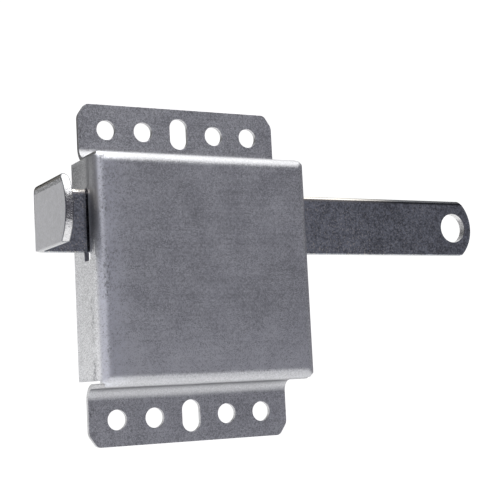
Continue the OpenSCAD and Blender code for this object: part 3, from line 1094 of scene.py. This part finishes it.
class SLIDELOCK_OT_stop_rivet(Operator):
    """Turns the stop rivet that stands through the bar"""

    bl_idname = "slidelock.stop_rivet"
    bl_label = "Stop Rivet"
    bl_options = {"REGISTER", "UNDO"}

    def execute(self, context):
        settings = context.scene.slide_lock
        sizes = settings.small
        middle = (STOP_LOW + STOP_HIGH) / 2
        head = (STOP_HIGH.x - STOP_LOW.x) / 2
        shank, tail = sizes.stop_shank / 2, sizes.stop_tail / 2
        crown = Vector((middle.x, STOP_LOW.y, middle.z))
        bm = bmesh.new()
        line = domed_profile(bm, crown, head, sizes.stop_head, Vector((0, -1, 0)))
        across = outward(line, middle, 1)
        line.run(across * (shank - head))
        line.run((0, settings.bolt.bar, 0))
        line.run(across * (tail - shank))
        line.run((0, sizes.stop_tail_rise, 0))
        line.run(across * -tail)
        turned(bm, middle, (0, 1, 0), STOP_SIDES)
        steel = plain_metal("rivet_steel", settings.colours.rivet, 0.002, 0.34)
        rivet = add_object("turned_stop_rivet", bm, steel)
        round_edges(rivet, STOP_ROUND, segments=3)
        seat(rivet, "bolt", "stop_rivet")
        return {"FINISHED"}


class SLIDELOCK_OT_spring(Operator):
    """Bends the leaf spring from one strip"""

    bl_idname = "slidelock.spring"
    bl_label = "Hold Spring"
    bl_options = {"REGISTER", "UNDO"}

    def execute(self, context):
        settings = context.scene.slide_lock
        sizes = settings.small
        low, high = SPRING_LOW, SPRING_HIGH
        half = sizes.spring / 2
        leg_x, leg_top = high.x - half, low.z + sizes.leg
        turn = math.pi / 2 - sizes.slope
        tip_turn = math.pi / 2 + sizes.tip_angle
        bend_end_z = leg_top + sizes.leg_bend * math.sin(turn)
        bow_z = BOLT_LOW.z - SPRING_GAP - half - sizes.bow
        slope_length = (bow_z + sizes.bow * math.sin(turn) - bend_end_z) / math.sin(sizes.slope)

        bm = bmesh.new()
        strip = drawn_from(bm, (leg_x, low.y, low.z), (leg_x, high.y, low.z))
        back = (0, -1, 0)
        strip.run((0, 0, sizes.leg))
        strip.turn((leg_x - sizes.leg_bend, 0, leg_top), back, turn, WIDE_BEND_STEPS)
        strip.run(Vector((-math.sin(turn), 0, math.cos(turn))) * slope_length)
        bow_x = strip.place().x - sizes.bow * math.cos(turn)
        strip.turn((bow_x, 0, bow_z), back, tip_turn - turn, BEND_STEPS)
        strip.run(Vector((-math.sin(tip_turn), 0, math.cos(tip_turn))) * sizes.tip)
        steel = plain_metal("spring_steel", settings.colours.spring, 0.004, 0.3)
        spring = add_object("bent_spring", bm, steel)
        apply_modifier(
            spring, "SOLIDIFY", thickness=sizes.spring, offset=0.0, use_even_offset=True,
            use_rim=True,
        )
        holes = bmesh.new()
        spring_hole_cutters(holes, sizes)
        cut_away(spring, holes)
        tidy_faces(spring)
        round_edges(spring, SPRING_ROUND)
        seat(spring, "lock_body", "hold_spring")
        return {"FINISHED"}


class SLIDELOCK_OT_spring_rivets(Operator):
    """Turns the two rivets that hold the spring"""

    bl_idname = "slidelock.spring_rivets"
    bl_label = "Spring Rivets"
    bl_options = {"REGISTER", "UNDO"}

    def execute(self, context):
        sizes = context.scene.slide_lock.small
        low, high = SPRING_RIVETS_LOW, SPRING_RIVETS_HIGH
        middle = (low + high) / 2
        head, shank, rise = sizes.rivet_head / 2, sizes.rivet / 2, sizes.rivet_head_rise
        ball = ball_radius(head, rise)
        bm = bmesh.new()
        for side in (0.5, -0.5):
            place = Vector((low.x, middle.y, middle.z + side * sizes.rivet_pitch))
            one = bmesh.new()
            line = domed_profile(one, place, head, rise, Vector((-1, 0, 0)))
            across = outward(line, place, 0)
            line.run(across * (shank - head))
            line.run((high.x - low.x - 2 * rise, 0, 0))
            line.run(across * (head - shank))
            centre = Vector((high.x - ball, place.y, place.z))
            round_axis = across.cross(Vector((1, 0, 0)))
            line.turn(centre, round_axis, math.asin(head / ball), DOME_STEPS)
            turned(one, place, (1, 0, 0), RIVET_SIDES)
            mesh = bpy.data.meshes.new("rivet")
            one.to_mesh(mesh)
            one.free()
            bm.from_mesh(mesh)
            bpy.data.meshes.remove(mesh)
        rivets = add_object("turned_spring_rivets", bm, bpy.data.materials["rivet_steel"])
        round_edges(rivets, RIVET_ROUND)
        seat(rivets, "lock_body", "spring_rivets")
        return {"FINISHED"}


class SLIDELOCK_OT_stage(Operator):
    """Sets the camera, the pale floor and backdrop, the cards and the light"""

    bl_idname = "slidelock.stage"
    bl_label = "Stage"
    bl_options = {"REGISTER", "UNDO"}

    def execute(self, context):
        settings = context.scene.slide_lock
        self.set_camera(context, settings.studio)
        self.set_backdrop(settings)
        self.set_cards()
        self.set_light(context, settings.studio)
        context.scene.view_settings.view_transform = "Standard"
        return {"FINISHED"}

    @staticmethod
    def set_camera(context, studio):
        """The camera where the photograph was taken from, and turned as it was."""
        az, el, roll = studio.azimuth, studio.elevation, studio.roll
        back = Vector((math.sin(az) * math.cos(el), -math.cos(az) * math.cos(el), math.sin(el)))
        level = Vector((0, 0, 1)).cross(back).normalized()
        upright = back.cross(level)
        right = math.cos(roll) * level + math.sin(roll) * upright
        up = math.cos(roll) * upright - math.sin(roll) * level
        data = bpy.data.cameras.new("camera")
        data.sensor_width = 36.0
        data.lens = studio.lens
        data.shift_x, data.shift_y = studio.shift
        data.clip_start, data.clip_end = 0.01, 50.0
        camera = linked("camera", data)
        turn = Matrix((right, up, back)).transposed().to_4x4()
        camera.matrix_world = Matrix.Translation(studio.place) @ turn
        context.scene.camera = camera

    @staticmethod
    def set_backdrop(settings):
        """A floor that curves up into a back wall, as one sheet of studio paper."""
        half_width, front, back, curve, wall = 5.0, -4.0, 2.0, 0.8, 3.0
        drop = -settings.studio.floor_drop
        bm = bmesh.new()
        paper = drawn_from(bm, (-half_width, front, drop), (half_width, front, drop))
        paper.run((0, back - front, 0))
        paper.turn((0, back, drop + curve), (1, 0, 0), math.pi / 2, FLOOR_BEND_STEPS)
        paper.run((0, 0, wall))
        backdrop = add_object("backdrop", bm, backdrop_white("studio_paper", settings.colours))
        backdrop.data.shade_smooth()

    @staticmethod
    def set_cards():
        """Grey cards that the camera doesn't see and that cast no shadow."""
        cards = (
            ("front_card", (0.28, -0.52, 0.135), (1.3, 0.94), 0.205, 1.16),
            ("front_left_card", (-0.45, -0.33, 0.12), (0.72, 0.92), 0.52, 1.1),
            ("left_card", (-0.42, 0.02, 0.37), (0.6, 0.55), 0.14, 1.0),
            ("rear_card", (-0.16, 0.24, 0.35), (0.55, 0.5), 0.20, 1.0),
            ("wall_card", (-0.0685, 0.0585, 0.080), (0.030, 0.11), 0.02, 1.0),
            ("right_card", (0.62, -0.02, 0.13), (1.0, 0.94), 0.24, 1.1),
        )
        for name, place, size, level, blue in cards:
            bm = bmesh.new()
            rectangle(bm, *size, aimed(place, (-place[0], -place[1], 0)))
            card = add_object(name, bm, grey_card(name, level, blue))
            card.visible_camera = False
            card.visible_shadow = False

    @staticmethod
    def set_light(context, studio):
        """A white world, dimmer as light than as a reflection, and a soft lamp overhead."""
        lamp_place, lamp_size, world_light = (0.1, -0.2, 0.9), (1.2, 1.0), 0.6
        world = bpy.data.worlds.new("studio")
        sky = Paint(world)
        strength = world_light + seen_directly(sky) * (1.0 - world_light)
        light = sky.node("Background", None, {"Color": (1, 1, 1, 1), "Strength": strength})
        sky.node("OutputWorld", None, {"Surface": light})
        context.scene.world = world
        data = bpy.data.lights.new("overhead", "AREA")
        data.shape = "RECTANGLE"
        data.size, data.size_y = lamp_size
        data.energy = studio.overhead
        linked("overhead", data).matrix_world = aimed(lamp_place, lamp_place)


class SLIDELOCK_PT_panel(Panel):
    """Lists the steps that build the lock"""

    bl_label = "Slide Lock"
    bl_idname = "SLIDELOCK_PT_panel"
    bl_space_type = "VIEW_3D"
    bl_region_type = "UI"
    bl_category = "Slide Lock"

    def draw(self, context):
        settings = context.scene.slide_lock
        column = self.layout.column(align=True)
        for operator in OPERATORS:
            column.operator(operator.bl_idname)
        for name in ("housing", "bolt", "small", "colours", "studio"):
            group = getattr(settings, name)
            box = self.layout.box()
            box.label(text=name.capitalize())
            for key in group.bl_rna.properties.keys():
                if key not in ("rna_type", "name"):
                    box.prop(group, key)


OPERATORS = (
    SLIDELOCK_OT_housing,
    SLIDELOCK_OT_bolt,
    SLIDELOCK_OT_stop_rivet,
    SLIDELOCK_OT_spring,
    SLIDELOCK_OT_spring_rivets,
    SLIDELOCK_OT_stage,
)
GROUPS = (HousingSizes, BoltSizes, SmallPartSizes, FinishColours, StudioSettings, SlideLockSettings)
CLASSES = (*GROUPS, *OPERATORS, SLIDELOCK_PT_panel)


def register():
    for cls in CLASSES:
        bpy.utils.register_class(cls)
    bpy.types.Scene.slide_lock = PointerProperty(type=SlideLockSettings)


def unregister():
    del bpy.types.Scene.slide_lock
    for cls in reversed(CLASSES):
        bpy.utils.unregister_class(cls)


def main():
    """Builds the pieces and the stage in order."""
    register()
    bpy.ops.slidelock.housing()
    bpy.ops.slidelock.bolt()
    bpy.ops.slidelock.stop_rivet()
    bpy.ops.slidelock.spring()
    bpy.ops.slidelock.spring_rivets()
    bpy.ops.slidelock.stage()


if __name__ == "__main__":
    main()
